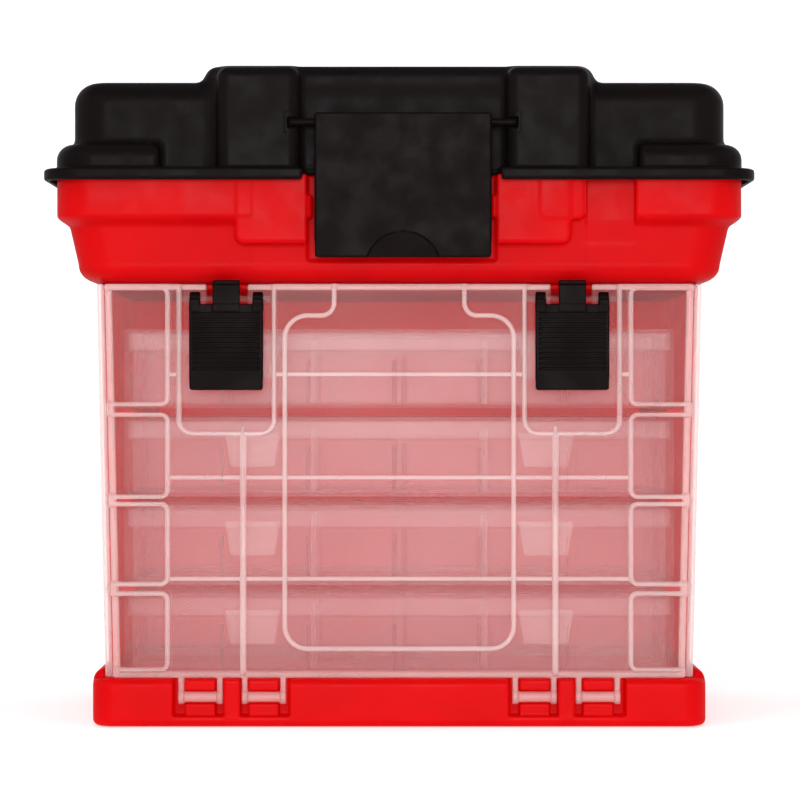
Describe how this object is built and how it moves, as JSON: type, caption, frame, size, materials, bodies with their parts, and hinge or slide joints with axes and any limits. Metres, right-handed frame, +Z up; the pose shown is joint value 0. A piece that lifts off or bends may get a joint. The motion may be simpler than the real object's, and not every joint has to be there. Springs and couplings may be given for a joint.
{
  "type": "fishing tackle box",
  "caption": "Rack tackle box with a black lid over a red open bin, a drop-down clear door and clear organiser boxes with clasps and dividers behind it.",
  "frame": {"origin": "middle of the underside, on the surface the box stands on", "axes": "+X to the box's right seen from the front, -Y out of the front door, +Z up"},
  "size_m": [0.28, 0.18, 0.26],
  "materials": {
    "red_plastic": "satin moulded polypropylene",
    "black_plastic": "fine-grained moulded polypropylene",
    "clear_door_plastic": "frosted clear polypropylene",
    "clear_box_plastic": "clear polypropylene",
    "steel_pin": "drawn wire"
  },
  "bodies": {
    "case": {"base": "red_plastic", "rack_housing": "red_plastic", "upper_bin": "red_plastic", "lid_hinge_pin_left": "steel_pin", "lid_hinge_pin_right": "steel_pin"},
    "lid": {"lid": "black_plastic", "main_latch_pin": "black_plastic", "handle_pin_left": "steel_pin", "handle_pin_right": "steel_pin"},
    "main_latch": {"main_latch": "black_plastic"},
    "handle": {"carry_handle": "black_plastic"},
    "door": {"door": "clear_door_plastic"},
    "side_latch_left": {"side_latch_left": "black_plastic"},
    "side_latch_right": {"side_latch_right": "black_plastic"},
    "box_1": {"box_1_tray": "clear_box_plastic", "box_1_lid": "clear_box_plastic", "box_1_divider_left": "clear_box_plastic", "box_1_divider_right": "clear_box_plastic", "box_1_divider_back": "clear_box_plastic"},
    "box_1_clasp_left": {"box_1_clasp_left": "clear_box_plastic"},
    "box_1_clasp_right": {"box_1_clasp_right": "clear_box_plastic"},
    "box_2": {"box_2_tray": "clear_box_plastic", "box_2_lid": "clear_box_plastic", "box_2_divider_left": "clear_box_plastic", "box_2_divider_right": "clear_box_plastic", "box_2_divider_back": "clear_box_plastic"},
    "box_2_clasp_left": {"box_2_clasp_left": "clear_box_plastic"},
    "box_2_clasp_right": {"box_2_clasp_right": "clear_box_plastic"},
    "box_3": {"box_3_tray": "clear_box_plastic", "box_3_lid": "clear_box_plastic", "box_3_divider_left": "clear_box_plastic", "box_3_divider_right": "clear_box_plastic", "box_3_divider_back": "clear_box_plastic"},
    "box_3_clasp_left": {"box_3_clasp_left": "clear_box_plastic"},
    "box_3_clasp_right": {"box_3_clasp_right": "clear_box_plastic"},
    "box_4": {"box_4_tray": "clear_box_plastic", "box_4_lid": "clear_box_plastic", "box_4_divider_left": "clear_box_plastic", "box_4_divider_right": "clear_box_plastic", "box_4_divider_back": "clear_box_plastic"},
    "box_4_clasp_left": {"box_4_clasp_left": "clear_box_plastic"},
    "box_4_clasp_right": {"box_4_clasp_right": "clear_box_plastic"}
  },
  "joints": [
    {"name": "lid_hinge", "type": "hinge", "parent": "case", "child": "lid", "pos_m": [0, 0.086, 0.213], "axis": [-1, 0, 0], "range_deg": [0, 100]},
    {"name": "main_latch_hinge", "type": "hinge", "parent": "lid", "child": "main_latch", "pos_m": [0, -0.0855, 0.237], "axis": [-1, 0, 0], "range_deg": [0, 110]},
    {"name": "handle_hinge", "type": "hinge", "parent": "lid", "child": "handle", "pos_m": [0, 0, 0.252], "axis": [-1, 0, 0], "range_deg": [0, 90]},
    {"name": "door_hinge", "type": "hinge", "parent": "case", "child": "door", "pos_m": [0, -0.0775, 0.0115], "axis": [1, 0, 0], "range_deg": [0, 90]},
    {"name": "side_latch_left_hinge", "type": "hinge", "parent": "door", "child": "side_latch_left", "pos_m": [-0.068, -0.0774, 0.168], "axis": [-1, 0, 0], "range_deg": [0, 100]},
    {"name": "side_latch_right_hinge", "type": "hinge", "parent": "door", "child": "side_latch_right", "pos_m": [0.068, -0.0774, 0.168], "axis": [-1, 0, 0], "range_deg": [0, 100]},
    {"name": "box_1_slide", "type": "slide", "parent": "case", "child": "box_1", "axis": [0, -1, 0], "range_m": [0, 0.16]},
    {"name": "box_1_clasp_left_hinge", "type": "hinge", "parent": "box_1", "child": "box_1_clasp_left", "pos_m": [-0.0585, -0.0621, 0.0442], "axis": [-1, 0, 0], "range_deg": [0, 100]},
    {"name": "box_1_clasp_right_hinge", "type": "hinge", "parent": "box_1", "child": "box_1_clasp_right", "pos_m": [0.0585, -0.0621, 0.0442], "axis": [-1, 0, 0], "range_deg": [0, 100]},
    {"name": "box_2_slide", "type": "slide", "parent": "case", "child": "box_2", "axis": [0, -1, 0], "range_m": [0, 0.16]},
    {"name": "box_2_clasp_left_hinge", "type": "hinge", "parent": "box_2", "child": "box_2_clasp_left", "pos_m": [-0.0585, -0.0621, 0.0795], "axis": [-1, 0, 0], "range_deg": [0, 100]},
    {"name": "box_2_clasp_right_hinge", "type": "hinge", "parent": "box_2", "child": "box_2_clasp_right", "pos_m": [0.0585, -0.0621, 0.0795], "axis": [-1, 0, 0], "range_deg": [0, 100]},
    {"name": "box_3_slide", "type": "slide", "parent": "case", "child": "box_3", "axis": [0, -1, 0], "range_m": [0, 0.16]},
    {"name": "box_3_clasp_left_hinge", "type": "hinge", "parent": "box_3", "child": "box_3_clasp_left", "pos_m": [-0.0585, -0.0621, 0.1148], "axis": [-1, 0, 0], "range_deg": [0, 100]},
    {"name": "box_3_clasp_right_hinge", "type": "hinge", "parent": "box_3", "child": "box_3_clasp_right", "pos_m": [0.0585, -0.0621, 0.1148], "axis": [-1, 0, 0], "range_deg": [0, 100]},
    {"name": "box_4_slide", "type": "slide", "parent": "case", "child": "box_4", "axis": [0, -1, 0], "range_m": [0, 0.16]},
    {"name": "box_4_clasp_left_hinge", "type": "hinge", "parent": "box_4", "child": "box_4_clasp_left", "pos_m": [-0.0585, -0.0621, 0.1501], "axis": [-1, 0, 0], "range_deg": [0, 100]},
    {"name": "box_4_clasp_right_hinge", "type": "hinge", "parent": "box_4", "child": "box_4_clasp_right", "pos_m": [0.0585, -0.0621, 0.1501], "axis": [-1, 0, 0], "range_deg": [0, 100]}
  ],
  "couplings": [
    {"joint": "box_1_slide", "follows": "door_hinge", "m_per_rad": 0.015},
    {"joint": "box_1_clasp_left_hinge", "follows": "door_hinge", "ratio": 1},
    {"joint": "box_1_clasp_right_hinge", "follows": "door_hinge", "ratio": 1},
    {"joint": "box_2_slide", "follows": "door_hinge", "m_per_rad": 0.042},
    {"joint": "box_2_clasp_left_hinge", "follows": "door_hinge", "ratio": 1},
    {"joint": "box_2_clasp_right_hinge", "follows": "door_hinge", "ratio": 1},
    {"joint": "box_3_slide", "follows": "door_hinge", "m_per_rad": 0.075},
    {"joint": "box_3_clasp_left_hinge", "follows": "door_hinge", "ratio": 1},
    {"joint": "box_3_clasp_right_hinge", "follows": "door_hinge", "ratio": 1},
    {"joint": "box_4_slide", "follows": "door_hinge", "m_per_rad": 0.1},
    {"joint": "box_4_clasp_left_hinge", "follows": "door_hinge", "ratio": 1},
    {"joint": "box_4_clasp_right_hinge", "follows": "door_hinge", "ratio": 1}
  ]
}
